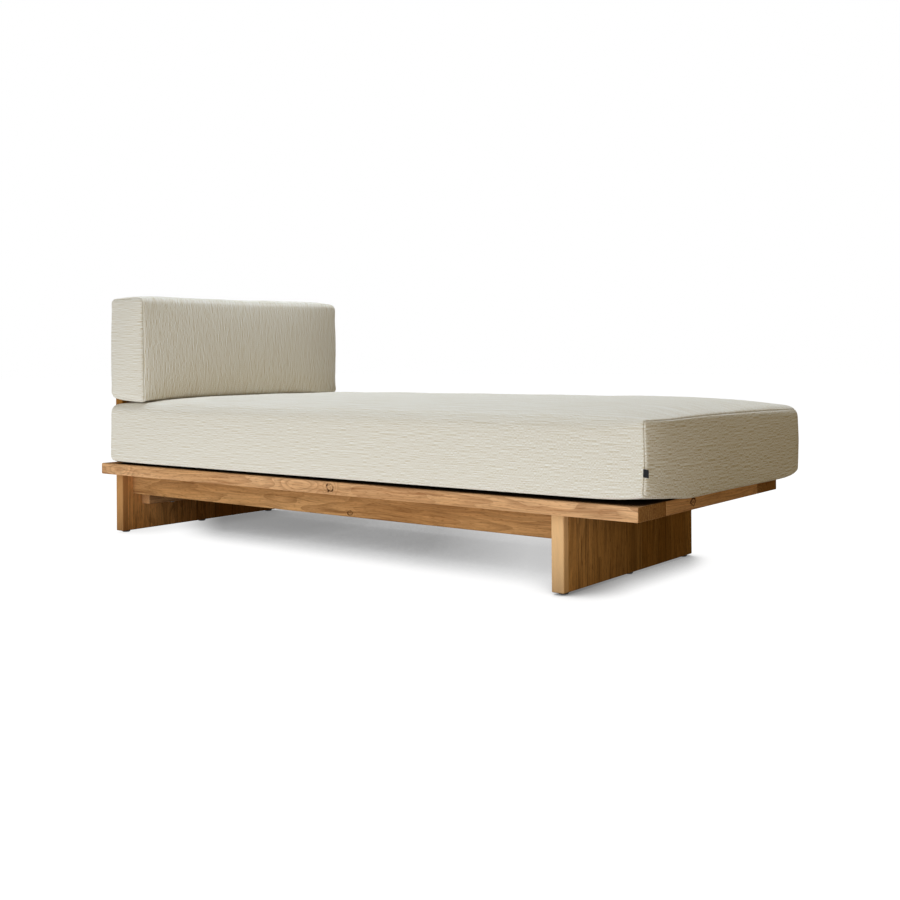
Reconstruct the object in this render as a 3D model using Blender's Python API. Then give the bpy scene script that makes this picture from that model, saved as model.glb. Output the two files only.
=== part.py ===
"""Outdoor daybed: a teak platform on slab legs, a back panel, a loose mattress and back cushion.

Metres, +Z up. X runs from the head to the foot and Y from the front to the rear. The origin is on
the floor, under the middle of the whole daybed.
"""
import math

import bmesh
import bpy
from mathutils import Matrix, Vector

# Teak frame
PLATFORM_LENGTH = 1.960
PLATFORM_WIDTH = 0.800
BOARD = 0.035
LONG_RAIL_WIDTH = 0.134
HEAD_RAIL_WIDTH = 0.134
MIDDLE_RAIL_WIDTH = 0.080
FOOT_RAIL_WIDTH = 0.110
LEG_RAIL_MARGIN = 0.020
LEG_HEIGHT = 0.192
LEG_RECESS = 0.056
FOOT_LEG_INSET = 0.227
APRON_HEIGHT = 0.072
APRON_SETBACK = 0.040
CLEAT_WIDTH = 0.040
CLEAT_HEIGHT = 0.108
BACK_PANEL_HEIGHT = 0.460
EDGE_ROUNDING = 0.0030
SMALL_ROUNDING = 0.0015

# Slats and the ledgers that carry them
SLATS_PER_BAY = 5
SLAT_WIDTH = 0.075
SLAT_THICKNESS = 0.018
LEDGER_WIDTH = 0.025

# Joinery
FIT = 0.0003
TENON_THICKNESS = 0.012
TENON_LENGTH = 0.030
TENON_SHOULDER = 0.015
APRON_TENON_LENGTH = 0.015
APRON_TENON_SHOULDER = 0.012
DOWEL_RADIUS = 0.008
DOWEL_END_MARGIN = 0.046
DOWEL_IN_LEG = 0.040
DOWEL_IN_PANEL = 0.060
DOWEL_IN_LEG_RAIL = 0.022
BOLT_RADIUS = 0.004
BOLT_HEAD_RADIUS = 0.008
BOLT_HEAD_HEIGHT = 0.004
BOLT_GRIP = 0.020
RAIL_BOLT_SPACING = 0.160
LEG_BOLT_SPACING = 0.090
ROUND_SIDES = 12
SHARP_ANGLE = math.radians(40)

# Floor glides, three under each leg
GLIDE_RADIUS = 0.013
GLIDE_CHAMFER = 0.002
GLIDE_HEIGHT = 0.005
GLIDE_STEM_RADIUS = 0.0025
GLIDE_STEM_LENGTH = 0.014
GLIDE_INSET = 0.026

# Loose cushions, level with the platform at the front, past it at the rear and the foot
MATTRESS_WIDTH = 0.900
FRONT_OVERHANG = 0.005
FOOT_OVERHANG = 0.032
SOFT_GAP = 0.0005
MATTRESS_EDGE_HEIGHT = 0.190
MATTRESS_CROWN = 0.036
MATTRESS_RADIUS = 0.028
MATTRESS_SIDE_BELLY = 0.006
MATTRESS_FOOT_BELLY = 0.010
MATTRESS_CORNER_RISE = 0.006
MATTRESS_STEPS = (10, 6, 2)
BACK_CUSHION_WIDTH = 0.890
BACK_CUSHION_HEIGHT = 0.318
BACK_CUSHION_THICKNESS = 0.167
BACK_CUSHION_RADIUS = 0.022
BACK_CUSHION_FACE_BELLY = 0.012
BACK_CUSHION_TOP_CROWN = 0.010
BACK_CUSHION_END_BELLY = 0.005
BACK_CUSHION_STEPS = (2, 8, 4)
FLAT_POWER = 6
FULL_POWER = 4
ROUND_POWER = 3

# Blank tab sewn into the mattress's corner seam at the foot
LABEL_WIDTH = 0.015
LABEL_HEIGHT = 0.017
LABEL_THICKNESS = 0.0012
LABEL_ABOVE_PLATFORM = 0.068

# Levels and lines that the pieces share
HEAD_X = -(PLATFORM_LENGTH + FOOT_OVERHANG) / 2
FOOT_X = HEAD_X + PLATFORM_LENGTH
FRONT_Y = -MATTRESS_WIDTH / 2 + FRONT_OVERHANG
REAR_Y = FRONT_Y + PLATFORM_WIDTH
MIDDLE_Y = (FRONT_Y + REAR_Y) / 2
LEG_BOTTOM_Z = GLIDE_HEIGHT + FIT
LEG_TOP_Z = LEG_BOTTOM_Z + LEG_HEIGHT
RAIL_BOTTOM_Z = LEG_TOP_Z + FIT
RAIL_TOP_Z = RAIL_BOTTOM_Z + BOARD
RAIL_MIDDLE_Z = (RAIL_BOTTOM_Z + RAIL_TOP_Z) / 2
FRONT_INNER_Y = FRONT_Y + LONG_RAIL_WIDTH
REAR_INNER_Y = REAR_Y - LONG_RAIL_WIDTH
LEG_FRONT_Y = FRONT_Y + LEG_RECESS
LEG_REAR_Y = REAR_Y - LEG_RECESS
APRON_FRONT_Y = LEG_FRONT_Y + APRON_SETBACK
APRON_REAR_Y = LEG_REAR_Y - APRON_SETBACK
HEAD_LEG_X = HEAD_X + BOARD / 2
FOOT_LEG_X = FOOT_X - FOOT_LEG_INSET - BOARD / 2
HEAD_LEG_INNER_X = HEAD_LEG_X + BOARD / 2
FOOT_LEG_INNER_X = FOOT_LEG_X - BOARD / 2
APRON_BOTTOM_Z = LEG_TOP_Z - APRON_HEIGHT
CLEAT_BOTTOM_Z = LEG_TOP_Z - CLEAT_HEIGHT


def finish(name, colour, roughness, metallic=0.0):
    """A plain Principled material."""
    material = bpy.data.materials.new(name)
    material.use_nodes = True
    shader = material.node_tree.nodes["Principled BSDF"]
    shader.inputs["Base Color"].default_value = (*colour, 1.0)
    shader.inputs["Roughness"].default_value = roughness
    shader.inputs["Metallic"].default_value = metallic
    material.diffuse_color = (*colour, 1.0)
    return material


def add_object(name, bm, material):
    """Turn a bmesh into a named object of the daybed."""
    mesh = bpy.data.meshes.new(name)
    bm.to_mesh(mesh)
    bm.free()
    mesh.materials.append(material)
    thing = bpy.data.objects.new(name, mesh)
    bpy.context.scene.collection.objects.link(thing)
    return thing


def add_block(bm, low, high):
    """Add a box between two corners."""
    low, high = Vector(low), Vector(high)
    size = high - low
    place = Matrix.Translation((low + high) / 2) @ Matrix.Diagonal((*size, 1.0))
    bmesh.ops.create_cube(bm, size=1.0, matrix=place)


def add_rod(bm, radius, start, end):
    """Add a round rod between two points on a line along X or Z."""
    start, end = Vector(start), Vector(end)
    turn = (end - start).to_track_quat("Z", "Y").to_matrix().to_4x4()
    place = Matrix.Translation((start + end) / 2) @ turn
    bmesh.ops.create_cone(bm, cap_ends=True, segments=ROUND_SIDES, radius1=radius, radius2=radius,
                          depth=(end - start).length, matrix=place)


def board(name, low, high, rounding=EDGE_ROUNDING, segments=2):
    """A planed teak board with eased edges."""
    bm = bmesh.new()
    add_block(bm, low, high)
    bmesh.ops.bevel(bm, geom=bm.edges[:], offset=rounding, segments=segments, profile=0.5,
                    affect="EDGES", material=-1)
    return add_object(name, bm, TEAK)


def combine(piece, operation, blocks=(), rods=()):
    """Join blocks to a piece, or cut blocks and rods out of it."""
    bm = bmesh.new()
    for low, high in blocks:
        add_block(bm, low, high)
    for radius, start, end in rods:
        add_rod(bm, radius, start, end)
    tool = add_object(piece.name + "_" + operation.lower(), bm, TEAK)
    tool.hide_render = True
    tool.display_type = "WIRE"
    boolean = piece.modifiers.new(operation.lower(), "BOOLEAN")
    boolean.operation = operation
    boolean.solver = "EXACT"
    boolean.object = tool


def grown(block, by):
    """A block with every face moved out by the same amount."""
    low, high = block
    return [value - by for value in low], [value + by for value in high]


def turned(name, profile, place, material):
    """A round piece: the profile of (radius, height) points turned about the local Z axis."""
    bm = bmesh.new()
    points = [bm.verts.new((radius, 0.0, height)) for radius, height in profile]
    edges = [bm.edges.new(pair) for pair in zip(points, points[1:])]
    bmesh.ops.spin(bm, geom=points + edges, cent=(0, 0, 0), axis=(0, 0, 1), angle=math.tau,
                   steps=ROUND_SIDES, use_merge=True)
    bmesh.ops.remove_doubles(bm, verts=bm.verts[:], dist=1e-6)
    bmesh.ops.recalc_face_normals(bm, faces=bm.faces[:])
    piece = add_object(name, bm, material)
    piece.data.shade_smooth()
    piece.data.set_sharp_from_angle(angle=SHARP_ANGLE)
    piece.matrix_world = place
    return piece


def cross_rail(name, start_x, end_x):
    """A rail across the platform, tenoned into both long rails."""
    front_y = FRONT_INNER_Y + FIT
    rear_y = REAR_INNER_Y - FIT
    rail = board(name, (start_x, front_y, RAIL_BOTTOM_Z), (end_x, rear_y, RAIL_TOP_Z))
    half = TENON_THICKNESS / 2
    tenon = (
        (start_x + TENON_SHOULDER, front_y - TENON_LENGTH, RAIL_MIDDLE_Z - half),
        (end_x - TENON_SHOULDER, rear_y + TENON_LENGTH, RAIL_MIDDLE_Z + half),
    )
    combine(rail, "UNION", blocks=[tenon])
    return rail, tenon


def apron(name, low_y):
    """A board on edge between the legs, with a stub tenon at each end."""
    low = (HEAD_LEG_INNER_X + FIT, low_y, APRON_BOTTOM_Z)
    high = (FOOT_LEG_INNER_X - FIT, low_y + BOARD, LEG_TOP_Z)
    piece = board(name, low, high)
    middle_y = low_y + BOARD / 2
    half = TENON_THICKNESS / 2
    tenon = (
        (low[0] - APRON_TENON_LENGTH, middle_y - half, low[2] + APRON_TENON_SHOULDER),
        (high[0] + APRON_TENON_LENGTH, middle_y + half, high[2] - APRON_TENON_SHOULDER),
    )
    combine(piece, "UNION", blocks=[tenon])
    return tenon


def upright_holes(radius, x, ys, low_z, high_z):
    """Holes along Z for pins of one radius, wider than the pins by the fit."""
    return [(radius + FIT, (x, y, low_z), (x, y, high_z)) for y in ys]


def bolt(name, reach, place):
    """A bolt with its shank along the local +Z axis and its head just off the face it bears on."""
    profile = [
        (0.0, reach),
        (BOLT_RADIUS, reach),
        (BOLT_RADIUS, -FIT),
        (BOLT_HEAD_RADIUS, -FIT),
        (BOLT_HEAD_RADIUS, -FIT - BOLT_HEAD_HEIGHT),
        (0.0, -FIT - BOLT_HEAD_HEIGHT),
    ]
    turned(name, profile, place, STEEL)


def stations(half, radius, inner):
    """Cuts along one axis of a cushion: even inner steps and a finer one in each rounded edge."""
    flat = half - radius
    even = [flat * (2 * i / inner - 1) for i in range(inner + 1)]
    fine = flat + radius * math.tan(math.pi / 8)
    return [-fine, *even, fine]


def soft_box(name, low, high, radius, inner, swell, material):
    """A stuffed cushion: a box with rounded edges whose faces swell by a rule of their own."""
    low, high = Vector(low), Vector(high)
    middle, half = (low + high) / 2, (high - low) / 2
    bm = bmesh.new()
    add_block(bm, -half, half)
    for axis in range(3):
        normal = Vector([float(i == axis) for i in range(3)])
        for position in stations(half[axis], radius, inner[axis]):
            bmesh.ops.bisect_plane(bm, geom=bm.verts[:] + bm.edges[:] + bm.faces[:], dist=1e-7,
                                   plane_co=normal * position, plane_no=normal)
    for vert in bm.verts:
        core = Vector([max(-h + radius, min(h - radius, c)) for c, h in zip(vert.co, half)])
        rounded = core + (vert.co - core).normalized() * radius
        share = [c / h for c, h in zip(rounded, half)]
        vert.co = middle + rounded + Vector(swell(*share))
    cushion = add_object(name, bm, material)
    cushion.data.shade_smooth()
    return cushion


def even_bulge(along, power=2):
    """1 in the middle of a face, falling to 0 at its edge."""
    return 1 - min(1.0, abs(along)) ** power


def mattress_swell(u, v, w):
    """Crowned top, full sides, a flat underside and head end, and corners that stand up a little."""
    crown = MATTRESS_CROWN * even_bulge(u, FLAT_POWER) * even_bulge(v, ROUND_POWER) * max(0.0, w)
    corner = MATTRESS_CORNER_RISE * abs(u * v) ** FLAT_POWER * max(0.0, w)
    side = MATTRESS_SIDE_BELLY * v * even_bulge(u, FULL_POWER) * even_bulge(w)
    foot = MATTRESS_FOOT_BELLY * max(0.0, u) * even_bulge(v) * even_bulge(w)
    return foot, side, crown + corner


def back_cushion_swell(u, v, w):
    """Full front face, crowned top and rounded ends; flat where it meets the panel and the mattress."""
    face = BACK_CUSHION_FACE_BELLY * max(0.0, u) * even_bulge(v, FULL_POWER) * even_bulge(w)
    end = BACK_CUSHION_END_BELLY * v * even_bulge(u) * even_bulge(w)
    top = BACK_CUSHION_TOP_CROWN * max(0.0, w) * even_bulge(u) * even_bulge(v, FULL_POWER)
    return face, end, top


for thing in list(bpy.data.objects):
    bpy.data.objects.remove(thing)

TEAK = finish("oiled_teak", (0.42, 0.23, 0.10), 0.55)
DOWEL_WOOD = finish("dowel_wood", (0.55, 0.38, 0.22), 0.6)
STEEL = finish("zinc_plated_steel", (0.55, 0.56, 0.57), 0.35, 1.0)
NYLON = finish("dark_nylon", (0.10, 0.10, 0.10), 0.5)
OUTDOOR_WEAVE = finish("oatmeal_outdoor_weave", (0.62, 0.57, 0.47), 0.9)
LABEL_WEAVE = finish("black_label_tape", (0.015, 0.015, 0.016), 0.8)

# Cross rails: head, middle, over the foot leg, and foot
leg_rail_start = FOOT_LEG_INNER_X - CLEAT_WIDTH - LEG_RAIL_MARGIN
leg_rail_end = FOOT_LEG_X + BOARD / 2 + LEG_RAIL_MARGIN
head_rail_end = HEAD_X + HEAD_RAIL_WIDTH
middle_rail_start = (head_rail_end + leg_rail_start - MIDDLE_RAIL_WIDTH) / 2
middle_rail_end = middle_rail_start + MIDDLE_RAIL_WIDTH
head_rail, head_tenon = cross_rail("head_cross_rail", HEAD_X, head_rail_end)
middle_rail, middle_tenon = cross_rail("middle_cross_rail", middle_rail_start, middle_rail_end)
leg_rail, leg_tenon = cross_rail("leg_cross_rail", leg_rail_start, leg_rail_end)
foot_rail, foot_tenon = cross_rail("foot_cross_rail", FOOT_X - FOOT_RAIL_WIDTH, FOOT_X)

# Long rails, mortised for the cross rails
mortises = [grown(tenon, FIT) for tenon in (head_tenon, middle_tenon, leg_tenon, foot_tenon)]
for name, low_y in (("front_long_rail", FRONT_Y), ("rear_long_rail", REAR_INNER_Y)):
    long_rail = board(name, (HEAD_X, low_y, RAIL_BOTTOM_Z),
                      (FOOT_X, low_y + LONG_RAIL_WIDTH, RAIL_TOP_Z))
    combine(long_rail, "DIFFERENCE", blocks=mortises)

# Ledgers and slats fill the two bays between the head rail and the leg rail
slat_bottom_z = RAIL_TOP_Z - SLAT_THICKNESS
bays = (("head_bay", head_rail_end, middle_rail_start), ("foot_bay", middle_rail_end, leg_rail_start))
slat_number = 0
for bay, start_x, end_x in bays:
    ledger_places = (("front", FRONT_INNER_Y + FIT), ("rear", REAR_INNER_Y - FIT - LEDGER_WIDTH))
    for side, low_y in ledger_places:
        board(bay + "_" + side + "_ledger", (start_x + FIT, low_y, RAIL_BOTTOM_Z),
              (end_x - FIT, low_y + LEDGER_WIDTH, slat_bottom_z - FIT), SMALL_ROUNDING, 1)
    slat_gap = (end_x - start_x - SLATS_PER_BAY * SLAT_WIDTH) / (SLATS_PER_BAY + 1)
    for i in range(SLATS_PER_BAY):
        slat_number += 1
        slat_x = start_x + slat_gap + i * (SLAT_WIDTH + slat_gap)
        board(f"slat_{slat_number:02d}", (slat_x, FRONT_INNER_Y + FIT, slat_bottom_z),
              (slat_x + SLAT_WIDTH, REAR_INNER_Y - FIT, RAIL_TOP_Z), SMALL_ROUNDING, 1)

# Aprons between the legs
apron_tenons = [
    apron("front_apron", APRON_FRONT_Y),
    apron("rear_apron", APRON_REAR_Y - BOARD),
]

# Slab legs, each with a cleat on its inner face, three glides, dowels and bolts
dowel_ys = [FRONT_INNER_Y + DOWEL_END_MARGIN, MIDDLE_Y, REAR_INNER_Y - DOWEL_END_MARGIN]
glide_ys = [LEG_FRONT_Y + GLIDE_INSET, MIDDLE_Y, LEG_REAR_Y - GLIDE_INSET]
rail_bolt_ys = [MIDDLE_Y - RAIL_BOLT_SPACING, MIDDLE_Y + RAIL_BOLT_SPACING]
leg_bolt_ys = [MIDDLE_Y - LEG_BOLT_SPACING, MIDDLE_Y + LEG_BOLT_SPACING]
cleat_middle_z = (CLEAT_BOTTOM_Z + LEG_TOP_Z) / 2
dowel_bottom_z = LEG_TOP_Z - DOWEL_IN_LEG
panel_dowel_top_z = RAIL_TOP_Z + DOWEL_IN_PANEL
stem_top_z = GLIDE_HEIGHT + GLIDE_STEM_LENGTH
rail_bolt_tip_z = RAIL_BOTTOM_Z + BOLT_GRIP
apron_mortises = [grown(tenon, FIT) for tenon in apron_tenons]
legs = (
    ("head", HEAD_LEG_X, 1, head_rail, panel_dowel_top_z),
    ("foot", FOOT_LEG_X, -1, leg_rail, RAIL_BOTTOM_Z + DOWEL_IN_LEG_RAIL),
)
for end, leg_x, inward, rail, dowel_top_z in legs:
    leg = board(end + "_leg", (leg_x - BOARD / 2, LEG_FRONT_Y, LEG_BOTTOM_Z),
                (leg_x + BOARD / 2, LEG_REAR_Y, LEG_TOP_Z))
    leg_face_x = leg_x + inward * BOARD / 2
    cleat_back_x = leg_face_x + inward * FIT
    cleat_face_x = cleat_back_x + inward * CLEAT_WIDTH
    cleat_x = (cleat_back_x + cleat_face_x) / 2
    cleat = board(end + "_leg_cleat",
                  (cleat_x - CLEAT_WIDTH / 2, APRON_FRONT_Y + BOARD + FIT, CLEAT_BOTTOM_Z),
                  (cleat_x + CLEAT_WIDTH / 2, APRON_REAR_Y - BOARD - FIT, LEG_TOP_Z))

    leg_holes = upright_holes(DOWEL_RADIUS, leg_x, dowel_ys, dowel_bottom_z - FIT, RAIL_TOP_Z)
    leg_holes += upright_holes(GLIDE_STEM_RADIUS, leg_x, glide_ys, 0.0, stem_top_z + FIT)
    rail_holes = upright_holes(DOWEL_RADIUS, leg_x, dowel_ys, LEG_BOTTOM_Z, dowel_top_z + FIT)
    rail_bolt_holes = upright_holes(BOLT_RADIUS, cleat_x, rail_bolt_ys, CLEAT_BOTTOM_Z - BOARD,
                                    rail_bolt_tip_z + FIT)
    hole_end_x = leg_face_x - inward * (BOLT_GRIP + FIT)
    hole_mouth_x = cleat_face_x + inward * BOARD
    leg_bolt_holes = [
        (BOLT_RADIUS + FIT, (hole_end_x, y, cleat_middle_z), (hole_mouth_x, y, cleat_middle_z))
        for y in leg_bolt_ys
    ]
    combine(leg, "DIFFERENCE", blocks=apron_mortises, rods=leg_holes + leg_bolt_holes)
    combine(cleat, "DIFFERENCE", rods=leg_bolt_holes + rail_bolt_holes)
    combine(rail, "DIFFERENCE", rods=rail_holes + rail_bolt_holes)

    dowel_length = dowel_top_z - dowel_bottom_z
    dowel_profile = [
        (0.0, dowel_length),
        (DOWEL_RADIUS, dowel_length),
        (DOWEL_RADIUS, 0.0),
        (0.0, 0.0),
    ]
    for i, y in enumerate(dowel_ys, start=1):
        place = Matrix.Translation((leg_x, y, dowel_bottom_z))
        turned(f"{end}_dowel_{i}", dowel_profile, place, DOWEL_WOOD)

    glide_profile = [
        (0.0, stem_top_z),
        (GLIDE_STEM_RADIUS, stem_top_z),
        (GLIDE_STEM_RADIUS, GLIDE_HEIGHT),
        (GLIDE_RADIUS, GLIDE_HEIGHT),
        (GLIDE_RADIUS, GLIDE_CHAMFER),
        (GLIDE_RADIUS - GLIDE_CHAMFER, 0.0),
        (0.0, 0.0),
    ]
    for i, y in enumerate(glide_ys, start=1):
        turned(f"{end}_glide_{i}", glide_profile, Matrix.Translation((leg_x, y, 0.0)), NYLON)

    for i, y in enumerate(rail_bolt_ys, start=1):
        place = Matrix.Translation((cleat_x, y, CLEAT_BOTTOM_Z))
        bolt(f"{end}_rail_bolt_{i}", rail_bolt_tip_z - CLEAT_BOTTOM_Z, place)
    into_leg = Matrix.Rotation(-inward * math.pi / 2, 4, "Y")
    for i, y in enumerate(leg_bolt_ys, start=1):
        place = Matrix.Translation((cleat_face_x, y, cleat_middle_z)) @ into_leg
        bolt(f"{end}_leg_bolt_{i}", CLEAT_WIDTH + FIT + BOLT_GRIP, place)

# Back panel, standing on the head rail on the dowels that come up through it
panel = board("back_panel", (HEAD_X, LEG_FRONT_Y, RAIL_TOP_Z + FIT),
              (HEAD_X + BOARD, LEG_REAR_Y, RAIL_TOP_Z + FIT + BACK_PANEL_HEIGHT))
panel_holes = upright_holes(DOWEL_RADIUS, HEAD_LEG_X, dowel_ys, RAIL_BOTTOM_Z, panel_dowel_top_z + FIT)
combine(panel, "DIFFERENCE", rods=panel_holes)

# Mattress, loose on the platform with its head end against the back panel
mattress_half_width = MATTRESS_WIDTH / 2 - MATTRESS_SIDE_BELLY
mattress_bottom_z = RAIL_TOP_Z + SOFT_GAP
mattress_low = Vector((HEAD_X + BOARD + SOFT_GAP, -mattress_half_width, mattress_bottom_z))
mattress_high = Vector((FOOT_X + FOOT_OVERHANG - MATTRESS_FOOT_BELLY, mattress_half_width,
                        mattress_bottom_z + MATTRESS_EDGE_HEIGHT))
mattress_middle = (mattress_low + mattress_high) / 2
mattress_half = (mattress_high - mattress_low) / 2
soft_box("mattress", mattress_low, mattress_high, MATTRESS_RADIUS, MATTRESS_STEPS, mattress_swell,
         OUTDOOR_WEAVE)

# Back cushion, loose on the mattress and against the back panel
cushion_start_x = HEAD_X + BOARD + SOFT_GAP
cushion_end_x = cushion_start_x + BACK_CUSHION_THICKNESS
cushion_rear_y = MATTRESS_WIDTH / 2 - BACK_CUSHION_END_BELLY
cushion_front_y = MATTRESS_WIDTH / 2 - BACK_CUSHION_WIDTH + BACK_CUSHION_END_BELLY
seat_share = (cushion_end_x - BACK_CUSHION_RADIUS - mattress_middle.x) / mattress_half.x
seat_z = mattress_high.z + MATTRESS_CROWN * even_bulge(seat_share, FLAT_POWER) + SOFT_GAP
soft_box("back_cushion", (cushion_start_x, cushion_front_y, seat_z),
         (cushion_end_x, cushion_rear_y, seat_z + BACK_CUSHION_HEIGHT),
         BACK_CUSHION_RADIUS, BACK_CUSHION_STEPS, back_cushion_swell, OUTDOOR_WEAVE)

# Blank label, a tab held in the seam of the mattress's front corner at the foot, along its tangent
corner_inset = MATTRESS_RADIUS * (1 - math.cos(math.pi / 4))
label_z = RAIL_TOP_Z + LABEL_ABOVE_PLATFORM
seam = Vector((mattress_high.x - corner_inset, mattress_low.y + corner_inset, label_z))
seam_share = [(c - m) / h for c, m, h in zip(seam, mattress_middle, mattress_half)]
outward = Vector((1.0, -1.0, 0.0)).normalized()
label_start = seam + Vector(mattress_swell(*seam_share)) + outward * SOFT_GAP
bm = bmesh.new()
add_block(bm, (0.0, 0.0, 0.0), (LABEL_THICKNESS, LABEL_WIDTH, LABEL_HEIGHT))
label = add_object("seam_label", bm, LABEL_WEAVE)
label.matrix_world = Matrix.Translation(label_start) @ Matrix.Rotation(-math.pi / 4, 4, "Z")
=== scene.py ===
"""Looks of an outdoor daybed: oiled teak frame, woven mattress and back cushion, in a plain studio."""
import math

import bmesh
import bpy
from mathutils import Matrix, Vector, noise


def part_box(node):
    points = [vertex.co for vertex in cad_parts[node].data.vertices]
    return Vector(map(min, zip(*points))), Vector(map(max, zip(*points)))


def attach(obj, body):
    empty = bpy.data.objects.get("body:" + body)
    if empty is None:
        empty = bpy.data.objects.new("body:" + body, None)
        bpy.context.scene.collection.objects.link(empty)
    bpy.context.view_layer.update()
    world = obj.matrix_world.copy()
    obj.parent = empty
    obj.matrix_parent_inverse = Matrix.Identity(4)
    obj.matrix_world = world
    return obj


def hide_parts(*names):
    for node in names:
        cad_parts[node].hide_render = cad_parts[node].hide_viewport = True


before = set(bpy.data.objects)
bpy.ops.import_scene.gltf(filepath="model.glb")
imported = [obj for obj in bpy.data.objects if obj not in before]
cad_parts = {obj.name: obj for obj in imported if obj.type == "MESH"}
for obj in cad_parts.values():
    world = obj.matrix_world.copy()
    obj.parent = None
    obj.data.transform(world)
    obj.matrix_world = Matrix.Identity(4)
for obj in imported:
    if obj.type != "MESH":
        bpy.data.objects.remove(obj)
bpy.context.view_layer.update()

# Rails, slats, ledgers, aprons and cleats: sawn teak boards with the grain along their length, planed,
# eased at the edges and oiled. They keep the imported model's shapes and get the wood's own figure here.
GRAIN_TURNS = {"X": (0.0, 0.0, 0.0), "Y": (0.0, 0.0, -math.pi / 2), "Z": (0.0, math.pi / 2, 0.0)}
AXES = {"X": (1.0, 0.0, 0.0), "Y": (0.0, 1.0, 0.0), "Z": (0.0, 0.0, 1.0)}
RING_SPACING = 0.0070
RING_WANDER = 0.052
RING_UNEVENNESS = 4.0
KNOT_SWELL = 0.018
FIBRE_RELIEF = 0.0006
# How far the painted shade on covered tops looks for something lying over them.
PAINTED_SHADE_REACH = 0.05
STAIN_SHARE = 0.55
PORE_SHARE = 0.40
GLUE_SHARE = 0.45
FRONT_STAVE_SHARE = 0.80
STAVE_SHIFT = (3.0, 0.25, 0.25)
# The staves over which the tints run from front to rear, as painted light and painted shade on the legs.
STAVES_TINTED_AND_SHADED = (-4.0, -0.5)

# Marks per metre, along and across the grain. Clouds of tone are about 90 mm wide and stains about 13 mm. Real
# fibres and pores are under 0.3 mm wide, and are drawn about 3 mm wide, so that they show.
FIGURE_DRIFT = (2.2, 12.0, 12.0)
TONE_CLOUDS = (1.1, 11.0, 11.0)
DARK_STAINS = (2.4, 75.0, 75.0)
FIBRES = (6.0, 300.0, 300.0)
PORES = (55.0, 340.0, 340.0)
KNOT_FLECKS = 110.0
BARK_GAPS = 85.0

KNOT_COLOUR = "#33190A"
GLUE_COLOUR = "#4A2C14"
# Painted shade, nearly black, on tops that something lies close over.
PAINTED_SHADE_COLOUR = "#0A0603"
END_GRAIN_TONE = "#B8AC90"


def linear(hex_colour):
    """An sRGB hex colour as linear RGBA."""
    channels = [int(hex_colour[i:i + 2], 16) / 255 for i in (1, 3, 5)]
    return (*[c / 12.92 if c <= 0.04045 else ((c + 0.055) / 1.055) ** 2.4 for c in channels], 1.0)


def add_node(tree, kind, inputs, **settings):
    """Add a node with its settings. Each input takes a value or another node's output."""
    new = tree.nodes.new(kind)
    for name, value in settings.items():
        setattr(new, name, value)
    for key, value in inputs.items():
        if isinstance(value, bpy.types.NodeSocket):
            tree.links.new(value, new.inputs[key])
        else:
            new.inputs[key].default_value = value
    return new


def new_material(name):
    """A new material, with its node tree and its shader."""
    material = bpy.data.materials.new(name)
    material.use_nodes = True
    return material, material.node_tree, material.node_tree.nodes["Principled BSDF"]


def knotted(tree, where, radius, knots):
    """Push the rings aside round each knot, and give the share of its dark heart and its broken rim of bark."""
    share = 0.0
    for centre, size, darkness in knots:
        away = add_node(tree, "ShaderNodeVectorMath", {0: where, 1: centre}, operation="SUBTRACT")
        scaled = add_node(tree, "ShaderNodeVectorMath", {0: away.outputs[0], 1: [1.0 / s for s in size]},
                          operation="MULTIPLY")
        far = add_node(tree, "ShaderNodeVectorMath", {0: scaled.outputs[0]}, operation="LENGTH").outputs["Value"]
        swell = add_node(tree, "ShaderNodeMapRange", {
            "Value": far, "From Max": 2.8, "To Min": KNOT_SWELL, "To Max": 0.0}, interpolation_type="SMOOTHERSTEP")
        radius = add_node(tree, "ShaderNodeMath", {0: radius, 1: swell.outputs[0]}, operation="ADD").outputs[0]
        fleck = add_node(tree, "ShaderNodeTexNoise", {"Vector": where, "Scale": KNOT_FLECKS, "Detail": 2.0})
        ragged = add_node(tree, "ShaderNodeMath", {0: fleck.outputs[0], 1: 1.1, 2: far},
                          operation="MULTIPLY_ADD").outputs[0]
        heart = add_node(tree, "ShaderNodeMapRange", {
            "Value": ragged, "From Min": 0.55, "From Max": 0.85, "To Min": 1.0, "To Max": 0.0})
        bark = add_node(tree, "ShaderNodeMapRange", {"Value": ragged, "From Min": 1.05, "From Max": 1.20})
        bark_end = add_node(tree, "ShaderNodeMapRange", {
            "Value": ragged, "From Min": 1.42, "From Max": 1.62, "To Min": 1.0, "To Max": 0.0})
        patchy = add_node(tree, "ShaderNodeTexNoise", {"Vector": where, "Scale": BARK_GAPS, "Detail": 1.0})
        broken = add_node(tree, "ShaderNodeMapRange", {
            "Value": patchy.outputs[0], "From Min": 0.38, "From Max": 0.46, "To Min": 0.35})
        rim = add_node(tree, "ShaderNodeMath", {0: bark.outputs[0], 1: bark_end.outputs[0]}, operation="MULTIPLY")
        rim = add_node(tree, "ShaderNodeMath", {0: rim.outputs[0], 1: broken.outputs[0]}, operation="MULTIPLY")
        knot = add_node(tree, "ShaderNodeMath", {0: heart.outputs[0], 1: rim.outputs[0]}, operation="MAXIMUM")
        knot = add_node(tree, "ShaderNodeMath", {0: knot.outputs[0], 1: darkness}, operation="MULTIPLY")
        share = add_node(tree, "ShaderNodeMath", {0: share, 1: knot.outputs[0]}, operation="MAXIMUM").outputs[0]
    return radius, share


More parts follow.
